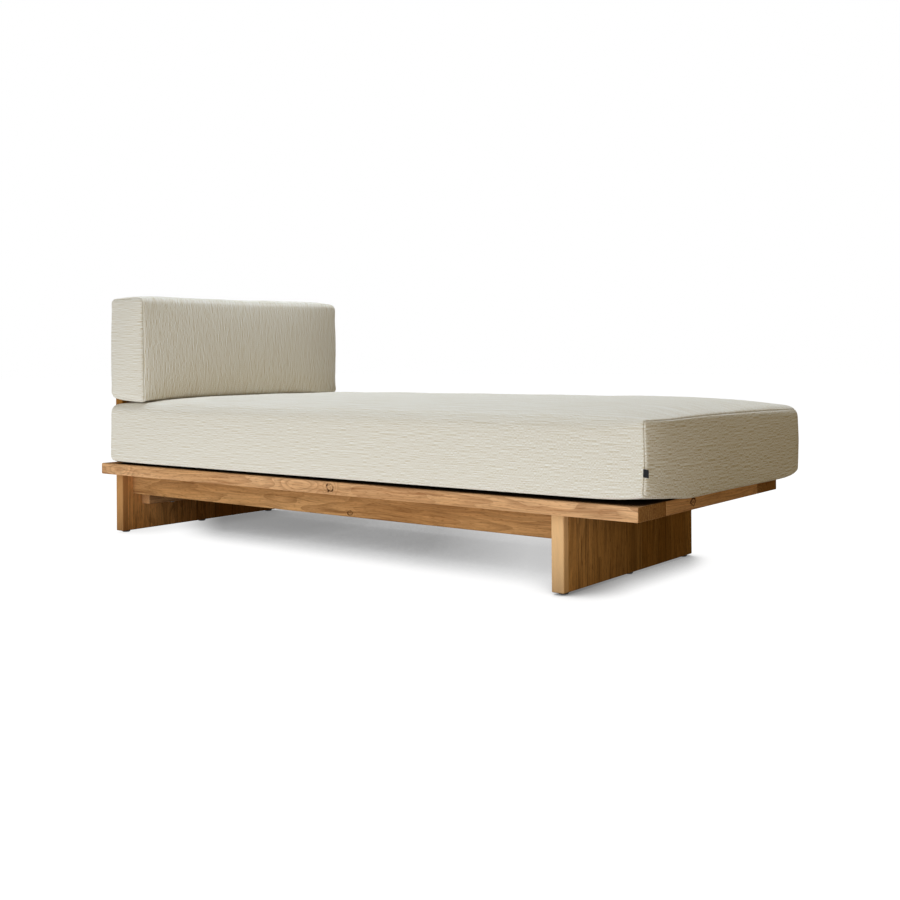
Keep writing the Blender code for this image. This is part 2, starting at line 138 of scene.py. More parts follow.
def figured_wood(name, grain, pith, pale, mid, dark, knots=(), end_tone=END_GRAIN_TONE, stave_width=None,
                 stave_tints_and_shade=None, front_stave=None):
    """Planed and oiled wood: growth rings about a pith outside the board, fibre streaks, pores, darker end grain,
    and painted shade, nearly black, on tops where something lies close over them. Oil leaves it matt, with no sharp
    highlight.

    A knot is its centre, half size and darkness. Staves, numbered from the middle, are tinted from the front ones
    to the rear ones, which on the legs is painted light in front and painted shade behind, and front_stave is the edge
    and the colour of the narrow one that closes a leg's front."""
    material, tree, shader = new_material(name)
    place = add_node(tree, "ShaderNodeTexCoord", {})
    where = place.outputs["Object"]
    axes = add_node(tree, "ShaderNodeSeparateXYZ", {0: where})
    turned = add_node(tree, "ShaderNodeMapping", {
        "Vector": where, "Rotation": GRAIN_TURNS[grain], "Location": pith}).outputs[0]

    # Staves: each is cut from another place in the wood, with a thin glue line beside the next.
    if stave_width:
        count = add_node(tree, "ShaderNodeMath", {0: axes.outputs["Y"], 1: stave_width}, operation="DIVIDE")
        stave = add_node(tree, "ShaderNodeMath", {0: count.outputs[0]}, operation="FLOOR")
        chance = add_node(tree, "ShaderNodeTexWhiteNoise", {"W": stave.outputs[0]}, noise_dimensions="1D")
        shift = add_node(tree, "ShaderNodeVectorMath", {0: chance.outputs["Color"], 1: STAVE_SHIFT},
                         operation="MULTIPLY")
        turned = add_node(tree, "ShaderNodeVectorMath", {0: turned, 1: shift.outputs[0]},
                          operation="ADD").outputs[0]
        edge = add_node(tree, "ShaderNodeMath", {0: count.outputs[0], 1: 0.5}, operation="PINGPONG")
        glue_line = add_node(tree, "ShaderNodeMapRange", {
            "Value": edge.outputs[0], "From Min": 0.004, "From Max": 0.012, "To Min": GLUE_SHARE, "To Max": 0.0})

    # Rings: the distance from a pith that wanders along the board, swollen round the knots and counted in years.
    slow = add_node(tree, "ShaderNodeVectorMath", {0: turned, 1: FIGURE_DRIFT}, operation="MULTIPLY")
    drift = add_node(tree, "ShaderNodeTexNoise", {"Vector": slow.outputs[0], "Scale": 1.0, "Detail": 2.0})
    centred = add_node(tree, "ShaderNodeVectorMath", {0: drift.outputs["Color"], 1: (0.5, 0.5, 0.5)},
                       operation="SUBTRACT")
    wander = add_node(tree, "ShaderNodeVectorMath", {0: centred.outputs[0], 1: (0.0, RING_WANDER, RING_WANDER)},
                      operation="MULTIPLY")
    flowed = add_node(tree, "ShaderNodeVectorMath", {0: turned, 1: wander.outputs[0]}, operation="ADD").outputs[0]
    across = add_node(tree, "ShaderNodeVectorMath", {0: flowed, 1: (0.0, 1.0, 1.0)}, operation="MULTIPLY")
    from_pith = add_node(tree, "ShaderNodeVectorMath", {0: across.outputs[0]}, operation="LENGTH")
    radius, knot_share = knotted(tree, where, from_pith.outputs["Value"], knots)

    marks = []
    for start, per_metre, detail, roughness in (
            (turned, TONE_CLOUDS, 2.0, 0.5), (flowed, DARK_STAINS, 3.0, 0.5),
            (flowed, FIBRES, 3.0, 0.6), (turned, PORES, 1.0, 0.5)):
        spread = add_node(tree, "ShaderNodeVectorMath", {0: start, 1: per_metre}, operation="MULTIPLY")
        marks.append(add_node(tree, "ShaderNodeTexNoise", {
            "Vector": spread.outputs[0], "Scale": 1.0, "Detail": detail, "Roughness": roughness}).outputs[0])
    cloud, stain, fibre, pore = marks

    years = add_node(tree, "ShaderNodeMath", {0: radius, 1: 1 / RING_SPACING}, operation="MULTIPLY")
    uneven = add_node(tree, "ShaderNodeMath", {0: cloud, 1: RING_UNEVENNESS, 2: years.outputs[0]},
                      operation="MULTIPLY_ADD")
    season = add_node(tree, "ShaderNodeMath", {0: uneven.outputs[0]}, operation="FRACT").outputs[0]
    late = add_node(tree, "ShaderNodeMapRange", {"Value": season, "From Min": 0.40, "From Max": 0.97},
                    interpolation_type="SMOOTHSTEP")
    early = add_node(tree, "ShaderNodeMapRange", {
        "Value": season, "From Min": 0.02, "From Max": 0.16, "To Min": 1.0, "To Max": 0.0})
    strong = add_node(tree, "ShaderNodeMapRange", {
        "Value": cloud, "From Min": 0.3, "From Max": 0.7, "To Min": 0.10, "To Max": 0.46})
    late_share, early_share = [
        add_node(tree, "ShaderNodeMath", {0: growth.outputs[0], 1: strong.outputs[0]}, operation="MULTIPLY")
        for growth in (late, early)]

    # Colour: pale and darker clouds, each stave's own tint, the tint from front staves to rear ones (on the legs,
    # painted light in front and painted shade behind), dark late wood and pale early wood in each ring, dark stains,
    # and lighter and darker fibres over all of them.
    tone = add_node(tree, "ShaderNodeMapRange", {"Value": cloud, "From Min": 0.28, "From Max": 0.72})
    colour = add_node(tree, "ShaderNodeMix", {0: tone.outputs[0], 6: linear(mid), 7: linear(pale)},
                      data_type="RGBA").outputs[2]
    if stave_width:
        rearward = add_node(tree, "ShaderNodeMapRange", {
            "Value": stave.outputs[0], "From Min": STAVES_TINTED_AND_SHADED[0], "From Max": STAVES_TINTED_AND_SHADED[1]})
        tint_and_shade = add_node(tree, "ShaderNodeMix", {
            0: rearward.outputs[0], 6: (*stave_tints_and_shade[0], 1.0), 7: (*stave_tints_and_shade[1], 1.0)}, data_type="RGBA")
        colour = add_node(tree, "ShaderNodeVectorMath", {0: colour, 1: tint_and_shade.outputs[2]},
                          operation="MULTIPLY").outputs[0]
        own_tone = add_node(tree, "ShaderNodeMapRange", {
            "Value": chance.outputs["Value"], "To Min": 0.88, "To Max": 1.12})
        colour = add_node(tree, "ShaderNodeVectorMath", {0: colour, 3: own_tone.outputs[0]},
                          operation="SCALE").outputs[0]
    dark_streak = add_node(tree, "ShaderNodeMapRange", {
        "Value": stain, "From Min": 0.56, "From Max": 0.72, "To Max": STAIN_SHARE})
    for share, wood_colour in ((late_share, dark), (early_share, pale), (dark_streak, dark)):
        colour = add_node(tree, "ShaderNodeMix", {0: share.outputs[0], 6: colour, 7: linear(wood_colour)},
                          data_type="RGBA").outputs[2]
    streak = add_node(tree, "ShaderNodeMapRange", {
        "Value": fibre, "From Min": 0.3, "From Max": 0.7, "To Min": 0.75, "To Max": 1.21})
    colour = add_node(tree, "ShaderNodeVectorMath", {0: colour, 3: streak.outputs[0]}, operation="SCALE").outputs[0]

    # Over that: open pores, the plain front stave, knots and glue lines.
    open_pore = add_node(tree, "ShaderNodeMapRange", {
        "Value": pore, "From Min": 0.56, "From Max": 0.72, "To Max": PORE_SHARE})
    layers = [(open_pore.outputs[0], dark)]
    if front_stave:
        edge_y, edge_colour = front_stave
        in_front = add_node(tree, "ShaderNodeMath", {0: axes.outputs["Y"], 1: edge_y}, operation="LESS_THAN")
        plain_front = add_node(tree, "ShaderNodeMath", {0: in_front.outputs[0], 1: FRONT_STAVE_SHARE},
                               operation="MULTIPLY")
        layers.append((plain_front.outputs[0], edge_colour))
    if knots:
        layers.append((knot_share, KNOT_COLOUR))
    if stave_width:
        layers.append((glue_line.outputs[0], GLUE_COLOUR))
    for share, layer_colour in layers:
        colour = add_node(tree, "ShaderNodeMix", {0: share, 6: colour, 7: linear(layer_colour)},
                          data_type="RGBA").outputs[2]

    # End grain drinks more oil and is darker. Tops get painted shade, nearly black, where something lies close over
    # them.
    facing = add_node(tree, "ShaderNodeVectorMath", {0: place.outputs["Normal"], 1: AXES[grain]},
                      operation="DOT_PRODUCT")
    along = add_node(tree, "ShaderNodeMath", {0: facing.outputs["Value"]}, operation="ABSOLUTE")
    end_grain = add_node(tree, "ShaderNodeMapRange", {"Value": along.outputs[0], "From Min": 0.6, "From Max": 0.9})
    colour = add_node(tree, "ShaderNodeMix", {0: end_grain.outputs[0], 6: colour, 7: linear(end_tone)},
                      data_type="RGBA", blend_type="MULTIPLY").outputs[2]
    upward = add_node(tree, "ShaderNodeVectorMath", {0: place.outputs["Normal"], 1: AXES["Z"]},
                      operation="DOT_PRODUCT")
    level = add_node(tree, "ShaderNodeMapRange", {"Value": upward.outputs["Value"], "From Min": 0.5, "From Max": 0.9})
    open_air = add_node(tree, "ShaderNodeAmbientOcclusion", {"Distance": PAINTED_SHADE_REACH}, samples=8)
    painted_cover_shade = add_node(tree, "ShaderNodeMapRange", {
        "Value": open_air.outputs["AO"], "From Min": 0.14, "From Max": 0.52, "To Min": 0.95, "To Max": 0.0})
    painted_cover_shade = add_node(tree, "ShaderNodeMath", {0: painted_cover_shade.outputs[0], 1: level.outputs[0]}, operation="MULTIPLY")
    colour = add_node(tree, "ShaderNodeMix", {0: painted_cover_shade.outputs[0], 6: colour, 7: linear(PAINTED_SHADE_COLOUR)},
                      data_type="RGBA").outputs[2]
    tree.links.new(colour, shader.inputs["Base Color"])

    # Surface: the fibres stand a little proud, and take the oil unevenly.
    gloss = add_node(tree, "ShaderNodeMapRange", {
        "Value": fibre, "From Min": 0.3, "From Max": 0.7, "To Min": 0.44, "To Max": 0.60})
    relief = add_node(tree, "ShaderNodeBump", {"Height": fibre, "Strength": 0.25, "Distance": FIBRE_RELIEF})
    tree.links.new(gloss.outputs[0], shader.inputs["Roughness"])
    tree.links.new(relief.outputs[0], shader.inputs["Normal"])
    shader.inputs["Specular IOR Level"].default_value = 0.0
    return material


def dress(node_name, material):
    """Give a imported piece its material."""
    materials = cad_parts[node_name].data.materials
    materials.clear()
    materials.append(material)


SLAT_COUNT = 10
CLEAT_END_TONE = "#F3ECDF"
GOLDEN = {"pale": "#DEB082", "mid": "#C79461", "dark": "#814C26"}
APRON = {"pale": "#D0A06A", "mid": "#B6834F", "dark": "#6E411C"}
boards = {
    "front_long_rail": figured_wood("teak_front_rail", "X", (0.3, 0.365, -0.212), **GOLDEN,
                                    knots=[((0.033, -0.445, 0.216), (0.015, 0.03, 0.012), 1.0),
                                           ((-0.896, -0.445, 0.215), (0.035, 0.03, 0.012), 0.0),
                                           ((-0.081, -0.445, 0.217), (0.045, 0.03, 0.010), 0.0)]),
    "rear_long_rail": figured_wood("teak_rear_rail", "X", (2.3, -0.180, -0.140), **GOLDEN),
    "front_apron": figured_wood("teak_front_apron", "X", (4.1, 0.290, -0.150), **APRON,
                                knots=[((0.017, -0.349, 0.137), (0.011, 0.03, 0.007), 0.7)]),
    "rear_apron": figured_wood("teak_rear_apron", "X", (6.2, -0.180, -0.090), **GOLDEN),
    "foot_cross_rail": figured_wood("teak_foot_rail", "Y", (1.7, 0.940, -0.120), **GOLDEN,
                                    knots=[((0.964, -0.171, 0.217), (0.03, 0.016, 0.011), 0.95)]),
    "head_cross_rail": figured_wood("teak_head_rail", "Y", (3.4, -0.980, -0.130), **GOLDEN),
}
cross_boards = figured_wood("teak_cross_boards", "Y", (5.2, 0.030, -0.110), **GOLDEN)
ledger_boards = figured_wood("teak_ledgers", "X", (7.7, 0.060, -0.120), **GOLDEN)
cleat_boards = figured_wood("teak_cleats", "Y", (6.3, 0.700, -0.170), **GOLDEN, end_tone=CLEAT_END_TONE)
for node_name in ("middle_cross_rail", "leg_cross_rail", *[f"slat_{i:02d}" for i in range(1, SLAT_COUNT + 1)]):
    boards[node_name] = cross_boards
for end in ("head", "foot"):
    boards[f"{end}_leg_cleat"] = cleat_boards
    for side in ("front", "rear"):
        boards[f"{end}_bay_{side}_ledger"] = ledger_boards
for node_name, material in boards.items():
    dress(node_name, material)

# Legs and back panel: slabs glued up from upright teak staves, each stave with its own tone and figure. A
# narrow, plainer stave closes the legs' front edges. On the legs, the tints from the front staves to the rear ones
# are painted light in front and painted shade behind, and the head leg's paler amber colours are painted light in its
# shade.
STAVE_WIDTH = 0.083
FRONT_STAVE_WIDTH = 0.021
AMBER = {"pale": "#D8A468", "mid": "#CA9254", "dark": "#6C4620"}
BROWN = {"pale": "#C2955A", "mid": "#A97C44", "dark": "#4C2E10"}
front_stave_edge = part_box("foot_leg")[0].y + FRONT_STAVE_WIDTH
slabs = {
    "head_leg": figured_wood("teak_head_leg", "Z", (0.5, 0.06, 1.10), **AMBER, stave_width=STAVE_WIDTH,
                             stave_tints_and_shade=((1.35, 1.38, 1.50), (0.66, 0.54, 0.38)),
                             front_stave=(front_stave_edge, "#B58453")),
    "foot_leg": figured_wood("teak_foot_leg", "Z", (2.1, 0.03, -0.62), **BROWN, stave_width=STAVE_WIDTH,
                             stave_tints_and_shade=((1.34, 1.34, 1.45), (0.70, 0.64, 0.52)),
                             front_stave=(front_stave_edge, "#F2C792")),
    "back_panel": figured_wood("teak_back_panel", "Z", (3.9, 0.05, 1.12), **BROWN, stave_width=STAVE_WIDTH,
                               stave_tints_and_shade=((0.78, 0.62, 0.40), (0.78, 0.62, 0.40))),
}
for node_name, material in slabs.items():
    dress(node_name, material)

# Dowels, bolts and glides: turned beech pins in the joints, zinc-plated bolts through the cleats, and moulded
# nylon glides under the legs. Only the glides and bolt heads show.
SPANGLES_PER_METRE = 400.0
GRIT_PER_METRE = 900.0
GRIT_RELIEF = 0.0003
beech = figured_wood("turned_beech", "Z", (0.2, 0.9, 0.4), "#E0C79F", "#D3B488", "#B9966A")

# Zinc plate is a dull grey metal, a little lighter and darker from spangle to spangle, about 2.5 mm apart.
zinc, tree, shader = new_material("zinc_plated_steel")
place = add_node(tree, "ShaderNodeTexCoord", {})
spangle = add_node(tree, "ShaderNodeTexNoise", {
    "Vector": place.outputs["Object"], "Scale": SPANGLES_PER_METRE, "Detail": 2.0})
dull = add_node(tree, "ShaderNodeMapRange", {"Value": spangle.outputs[0], "To Min": 0.50, "To Max": 0.70})
plate = add_node(tree, "ShaderNodeMix", {0: spangle.outputs[0], 6: linear("#5E5C58"), 7: linear("#7A7873")},
                 data_type="RGBA")
tree.links.new(plate.outputs[2], shader.inputs["Base Color"])
tree.links.new(dull.outputs[0], shader.inputs["Roughness"])
shader.inputs["Metallic"].default_value = 1.0

# Moulded nylon is nearly black, with the fine grit of its mould. The grit is drawn at about 1 mm, so that it shows.
nylon, tree, shader = new_material("moulded_black_nylon")
place = add_node(tree, "ShaderNodeTexCoord", {})
grit = add_node(tree, "ShaderNodeTexNoise", {
    "Vector": place.outputs["Object"], "Scale": GRIT_PER_METRE, "Detail": 2.0})
scuffed = add_node(tree, "ShaderNodeMix", {0: grit.outputs[0], 6: linear("#1E1C1A"), 7: linear("#34302C")},
                   data_type="RGBA")
grit_relief = add_node(tree, "ShaderNodeBump", {"Height": grit.outputs[0], "Strength": 0.3, "Distance": GRIT_RELIEF})
tree.links.new(scuffed.outputs[2], shader.inputs["Base Color"])
tree.links.new(grit_relief.outputs[0], shader.inputs["Normal"])
shader.inputs["Roughness"].default_value = 0.55
shader.inputs["IOR"].default_value = 1.53

for end in ("head", "foot"):
    for i in (1, 2, 3):
        dress(f"{end}_dowel_{i}", beech)
        dress(f"{end}_glide_{i}", nylon)
    for i in (1, 2):
        dress(f"{end}_leg_bolt_{i}", zinc)
        dress(f"{end}_rail_bolt_{i}", zinc)

# Mattress: a foam block in a sewn cover. One length of cloth wraps front, top and rear, and a panel is set
# into each end with a plain seam. The top is crowned and the lower edges lift off the rails.
SEAM_STEPS = (0.0025, 0.006, 0.011, 0.018, 0.028)
CUSHION_STEP = 0.019
END_PANEL_SHIFT = 5.0
AT_EDGE = 0.9999


def soft_stations(low, high):
    """Cuts along one axis of a cushion: fine ones beside the seams at both ends and even ones between."""
    start, span = low + SEAM_STEPS[-1], high - low - 2 * SEAM_STEPS[-1]
    count = round(span / CUSHION_STEP)
    cuts = [low + s for s in SEAM_STEPS[:-1]]
    cuts += [start + span * i / count for i in range(count + 1)]
    return cuts + [high - s for s in reversed(SEAM_STEPS[:-1])]


def cut_block(low, high):
    """A block between two corners, cut into quads along all three axes."""
    bm = bmesh.new()
    size = high - low
    bmesh.ops.create_cube(bm, size=1.0,
                          matrix=Matrix.Translation((low + high) / 2) @ Matrix.Diagonal((*size, 1.0)))
    for axis in (2, 1, 0):
        normal = Vector([float(i == axis) for i in range(3)])
        for cut in soft_stations(low[axis], high[axis]):
            bmesh.ops.bisect_plane(bm, geom=bm.verts[:] + bm.edges[:] + bm.faces[:], dist=1e-6,
                                   plane_co=normal * cut, plane_no=normal)
    return bm


def lay_cloth(bm, low, high, wrap):
    """UVs in metres. u follows the slub yarn: along the mattress, and up the back cushion's wide faces. The end
    panels come from another stretch of the cloth."""
    layer = bm.loops.layers.uv.new("cloth")
    a, b = [axis for axis in range(3) if axis != wrap]
    for face in bm.faces:
        normal = face.normal
        for loop in face.loops:
            co = loop.vert.co
            if abs(normal[wrap]) > 0.5:
                across = co.x if wrap == 1 else co.y
                loop[layer].uv = (across + END_PANEL_SHIFT, co.z)
                continue
            if abs(normal[a]) > 0.5:
                girth = co[b] if normal[a] < 0 else 2 * high[b] - co[b] + high[a] - low[a]
            else:
                girth = high[b] + co[a] - low[a] if normal[b] > 0 else low[b] - co[a] + low[a]
            loop[layer].uv = (co[wrap], girth) if wrap == 0 else (girth, co[wrap])


def soften(point, low, high, wrap, radius, end_radius):
    """Move a point of a block onto the same block with rounded edges, the wrap's ends with a radius of their own."""
    sides = [axis for axis in range(3) if axis != wrap]
    core = {axis: max(low[axis] + radius, min(high[axis] - radius, point[axis])) for axis in sides}
    out = Vector([point[axis] - core[axis] for axis in sides])
    reach = max(abs(out[0]), abs(out[1]))
    if reach == 0:
        return Vector(point)
    out = out.normalized()
    near = min(point[wrap] - low[wrap], high[wrap] - point[wrap])
    inward = 1 if point[wrap] - low[wrap] < high[wrap] - point[wrap] else -1
    soft = Vector(point)
    turn = math.atan(max(0.0, 1 - near / end_radius))
    rim = math.atan(max(0.0, 1 - (radius - reach) / end_radius))
    if near > 1e-6:
        reach -= end_radius * (1 - math.cos(turn))
        if turn:
            soft[wrap] += inward * (end_radius * (1 - math.sin(turn)) - near)
    else:
        if rim:
            reach = radius - end_radius * (1 - math.sin(rim))
        soft[wrap] += inward * end_radius * (1 - math.cos(rim))
    for axis, step in zip(sides, out):
        soft[axis] = core[axis] + step * reach
    return soft


def bulge(along, power=2.0):
    """1 in the middle of a face, falling to 0 at its edge. A higher power keeps it full nearer to the edge."""
    return 1 - min(1.0, abs(along)) ** power


def mesh_object(name, bm, material):
    """An object in the scene from a bmesh."""
    mesh = bpy.data.meshes.new(name)
    bm.to_mesh(mesh)
    bm.free()
    mesh.materials.append(material)
    made = bpy.data.objects.new(name, mesh)
    bpy.context.scene.collection.objects.link(made)
    return made


PICK_HEIGHT = 0.0028
PICK_RELIEF = 0.0012
FLOAT_LENGTH = 0.0072
ROW_STEP = 0.38
ROW_CHANCE = 0.60
PAIR_SHIFT = 3.7
SLUBS_PER_METRE = 22.0
SLUB_SHARE = 0.28
FLECKS_PER_FLOAT = 3.0
FLECK_SHARE = 0.45
FLOAT_SHARE = 0.12
# Yarn-tone streaks, kept to the top as painted light.
BATCH_AND_LIGHT_STREAKS = (6.0, 110.0, 1.0)
BATCH_AND_LIGHT_STRENGTH = 0.45
MIDDLE_TONE = 0.43
SEAM_THREAD_AND_SHADE_COLOUR = "#8E7F68"


def outdoor_weave(name, cream, tan):
    """Spun outdoor yarn: rows of weft picks, each passing over a warp yarn every 7.2 mm, in a melange of cream and
    tan that changes along each pick. The picks are about 2 mm high and drawn at 2.8 mm, so that they show. The
    cloth is matt, with a faint sheen from the loose ends of its fibres."""
    material, tree, shader = new_material(name)
    cloth = add_node(tree, "ShaderNodeUVMap", {}, uv_map="cloth").outputs[0]
    axes = add_node(tree, "ShaderNodeSeparateXYZ", {0: cloth})

    # Picks: each row is stepped along from the one below, some more than others.
    rows = add_node(tree, "ShaderNodeMath", {0: axes.outputs["Y"], 1: PICK_HEIGHT}, operation="DIVIDE")
    row = add_node(tree, "ShaderNodeMath", {0: rows.outputs[0]}, operation="FLOOR")
    chance = add_node(tree, "ShaderNodeTexWhiteNoise", {"W": row.outputs[0]}, noise_dimensions="1D")
    floats = add_node(tree, "ShaderNodeMath", {0: axes.outputs["X"], 1: FLOAT_LENGTH}, operation="DIVIDE")
    stepped = add_node(tree, "ShaderNodeMath", {0: row.outputs[0], 1: ROW_STEP, 2: floats.outputs[0]},
                       operation="MULTIPLY_ADD")
    loose = add_node(tree, "ShaderNodeMath", {0: chance.outputs["Value"], 1: ROW_CHANCE, 2: stepped.outputs[0]},
                     operation="MULTIPLY_ADD")
    turn = add_node(tree, "ShaderNodeMath", {0: loose.outputs[0], 1: math.tau}, operation="MULTIPLY")
    over = add_node(tree, "ShaderNodeMath", {0: turn.outputs[0]}, operation="SINE")
    over = add_node(tree, "ShaderNodeMapRange", {"Value": over.outputs[0], "From Min": -1.0, "From Max": 1.0})

    # Yarns: rows come in pairs of opposite tone, with slubs of about 45 mm and flecks of 2.4 mm along each.
    paired = add_node(tree, "ShaderNodeMath", {0: row.outputs[0], 1: 0.5}, operation="MULTIPLY")
    pair = add_node(tree, "ShaderNodeMath", {0: paired.outputs[0]}, operation="FLOOR")
    parity = add_node(tree, "ShaderNodeMath", {0: pair.outputs[0], 1: -2.0, 2: row.outputs[0]},
                      operation="MULTIPLY_ADD")
    own_place = add_node(tree, "ShaderNodeMath", {0: pair.outputs[0], 1: PAIR_SHIFT}, operation="MULTIPLY")
    drawn = add_node(tree, "ShaderNodeMath", {0: axes.outputs["X"], 1: SLUBS_PER_METRE}, operation="MULTIPLY")
    slub_at = add_node(tree, "ShaderNodeCombineXYZ", {0: drawn.outputs[0], 1: own_place.outputs[0]})
    slub = add_node(tree, "ShaderNodeTexNoise", {"Vector": slub_at.outputs[0], "Scale": 1.0, "Detail": 1.0},
                    noise_dimensions="2D")
    stitches = add_node(tree, "ShaderNodeMath", {0: floats.outputs[0], 1: FLECKS_PER_FLOAT, 2: own_place.outputs[0]},
                        operation="MULTIPLY_ADD")
    stitch = add_node(tree, "ShaderNodeMath", {0: stitches.outputs[0]}, operation="FLOOR")
    fleck_at = add_node(tree, "ShaderNodeCombineXYZ", {0: stitch.outputs[0], 1: pair.outputs[0]})
    fleck = add_node(tree, "ShaderNodeTexWhiteNoise", {"Vector": fleck_at.outputs[0]}, noise_dimensions="2D")
    tones = []
    for spun in (slub.outputs[0], fleck.outputs["Value"]):
        apart = add_node(tree, "ShaderNodeMath", {0: spun, 1: parity.outputs[0]}, operation="SUBTRACT")
        tones.append(add_node(tree, "ShaderNodeMath", {0: apart.outputs[0]}, operation="ABSOLUTE").outputs[0])
    slub_tone, fleck_tone = tones
    slub_share = add_node(tree, "ShaderNodeMapRange", {
        "Value": slub_tone, "From Min": 0.38, "From Max": 0.66, "To Max": SLUB_SHARE})
    flecked = add_node(tree, "ShaderNodeMath", {0: fleck_tone, 1: FLECK_SHARE, 2: slub_share.outputs[0]},
                       operation="MULTIPLY_ADD")
    mixed = add_node(tree, "ShaderNodeMath", {0: over.outputs[0], 1: FLOAT_SHARE, 2: flecked.outputs[0]},
                     operation="MULTIPLY_ADD")

    # Batches of yarn: faint streaks of tone, about 170 by 9 mm, scaled by how far a face points up. The streaks are
    # real, and keeping them to the top is painted light, for how the flat light there shows them.
    faces = add_node(tree, "ShaderNodeTexCoord", {})
    broad = add_node(tree, "ShaderNodeVectorMath", {0: cloth, 1: BATCH_AND_LIGHT_STREAKS}, operation="MULTIPLY")
    batch_and_light = add_node(tree, "ShaderNodeTexNoise", {"Vector": broad.outputs[0], "Scale": 1.0, "Detail": 2.0},
                     noise_dimensions="2D")
    batch_and_light = add_node(tree, "ShaderNodeMath", {0: batch_and_light.outputs[0], 1: 0.5}, operation="SUBTRACT")
    upward = add_node(tree, "ShaderNodeVectorMath", {0: faces.outputs["Normal"], 1: (0.0, 0.0, BATCH_AND_LIGHT_STRENGTH)},
                      operation="DOT_PRODUCT")
    mixed = add_node(tree, "ShaderNodeMath", {0: batch_and_light.outputs[0], 1: upward.outputs["Value"], 2: mixed.outputs[0]},
                     operation="MULTIPLY_ADD")

    # Faces toward the foot and the head show the two yarns further apart: painted light and shade, for the light
    # from the side that picks the yarns out there.
    endwise = add_node(tree, "ShaderNodeVectorMath", {0: faces.outputs["Normal"], 1: AXES["X"]},
                       operation="DOT_PRODUCT")
    endwise = add_node(tree, "ShaderNodeMath", {0: endwise.outputs["Value"]}, operation="ABSOLUTE")
    painted_side_contrast = add_node(tree, "ShaderNodeMapRange", {"Value": endwise.outputs[0], "To Min": 1.00, "To Max": 2.40})
    apart = add_node(tree, "ShaderNodeMath", {0: mixed.outputs[0], 1: MIDDLE_TONE}, operation="SUBTRACT")
    mixed = add_node(tree, "ShaderNodeMath", {0: apart.outputs[0], 1: painted_side_contrast.outputs[0], 2: MIDDLE_TONE},
                     operation="MULTIPLY_ADD")
    colour = add_node(tree, "ShaderNodeMix", {0: mixed.outputs[0], 6: linear(cream), 7: linear(tan)},
                      data_type="RGBA").outputs[2]

    # Seams: a darker line, partly the thread's colour and partly painted shade in the seam's groove.
    seam = add_node(tree, "ShaderNodeAttribute", {}, attribute_name="seam")
    sewn = add_node(tree, "ShaderNodeMapRange", {"Value": seam.outputs["Fac"], "From Min": 0.25, "To Max": 0.65})
    colour = add_node(tree, "ShaderNodeMix", {0: sewn.outputs[0], 6: colour, 7: linear(SEAM_THREAD_AND_SHADE_COLOUR)},
                      data_type="RGBA").outputs[2]
    tree.links.new(colour, shader.inputs["Base Color"])

    # Relief: each pick is round, and highest where it floats over the warp.
    round_pick = add_node(tree, "ShaderNodeMath", {0: rows.outputs[0], 1: 0.5}, operation="PINGPONG")
    raised = add_node(tree, "ShaderNodeMath", {0: over.outputs[0], 1: 0.5, 2: round_pick.outputs[0]},
                      operation="MULTIPLY_ADD")
    relief = add_node(tree, "ShaderNodeBump", {"Height": raised.outputs[0], "Strength": 0.40, "Distance": PICK_RELIEF})
    tree.links.new(relief.outputs[0], shader.inputs["Normal"])
    shader.inputs["Roughness"].default_value = 0.92
    shader.inputs["Specular IOR Level"].default_value = 0.10
    shader.inputs["Sheen Weight"].default_value = 0.15
    shader.inputs["Sheen Roughness"].default_value = 0.5
    return material


WEAVE = outdoor_weave("oatmeal_outdoor_weave", "#F1EFE8", "#C3B28D")

PRESSURE = 4.0
SIMULATED_FRAMES = 16
SEAM_DEPTH = 0.0025


def plump(cushion, resting, give):
    """Let the cover swell under the filling's pressure for a moment, held where it rests, and keep what it gained."""
    held = cushion.vertex_groups.new(name="resting")
    held.add(resting, 1.0, "REPLACE")
    cloth = cushion.modifiers.new("cover", "CLOTH")
    cloth.settings.vertex_group_mass = "resting"
    cloth.settings.use_pressure = True
    cloth.settings.uniform_pressure_force = PRESSURE
    cloth.settings.effector_weights.gravity = 0.0
    cloth.settings.quality = 6
    cloth.settings.tension_stiffness = 25.0
    cloth.settings.compression_stiffness = 25.0
    cloth.settings.bending_stiffness = 2.0
    cloth.point_cache.frame_start = 1
    cloth.point_cache.frame_end = SIMULATED_FRAMES
    before = [v.co.copy() for v in cushion.data.vertices]
    for step in range(1, SIMULATED_FRAMES + 1):
        bpy.context.scene.frame_set(step)
    swollen = cushion.evaluated_get(bpy.context.evaluated_depsgraph_get())
    after = [v.co.copy() for v in swollen.data.vertices]
    cushion.modifiers.remove(cloth)
    bpy.context.scene.frame_set(1)
    for vert, start, end in zip(cushion.data.vertices, before, after):
        gain = end - start
        if gain.length > give:
            gain *= give / gain.length
        vert.co = start + gain


def sew(cushion, seam):
    """Draw the seams in between the panels, mark them for the darker line of thread and painted shade, and round the
    cover off.
    """
    mesh = cushion.data
    normals = [v.normal.copy() for v in mesh.vertices]
    thread = mesh.attributes.new("seam", "FLOAT", "POINT")
    for index in seam:
        mesh.vertices[index].co -= normals[index] * SEAM_DEPTH
        thread.data[index].value = 1.0
    finer = cushion.modifiers.new("finer", "SUBSURF")
    finer.levels = finer.render_levels = 1


# The block's faces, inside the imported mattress's box, and the radii of its edges.
MATTRESS_SIDE_HEIGHT = 0.1904
MATTRESS_RAIL_GAP = 0.001
MATTRESS_HEAD_INSET = 0.002
MATTRESS_FOOT_INSET = 0.014
MATTRESS_FRONT_INSET = 0.0025
MATTRESS_REAR_INSET = 0.006
MATTRESS_TOP_RADIUS = 0.028
MATTRESS_BOTTOM_RADIUS = 0.006
HEAD_END_RADIUS = 0.020
NEAR_FOOT_RADIUS = 0.007
FAR_FOOT_RADIUS = 0.034
LOW_FOOT_RADIUS = 0.010

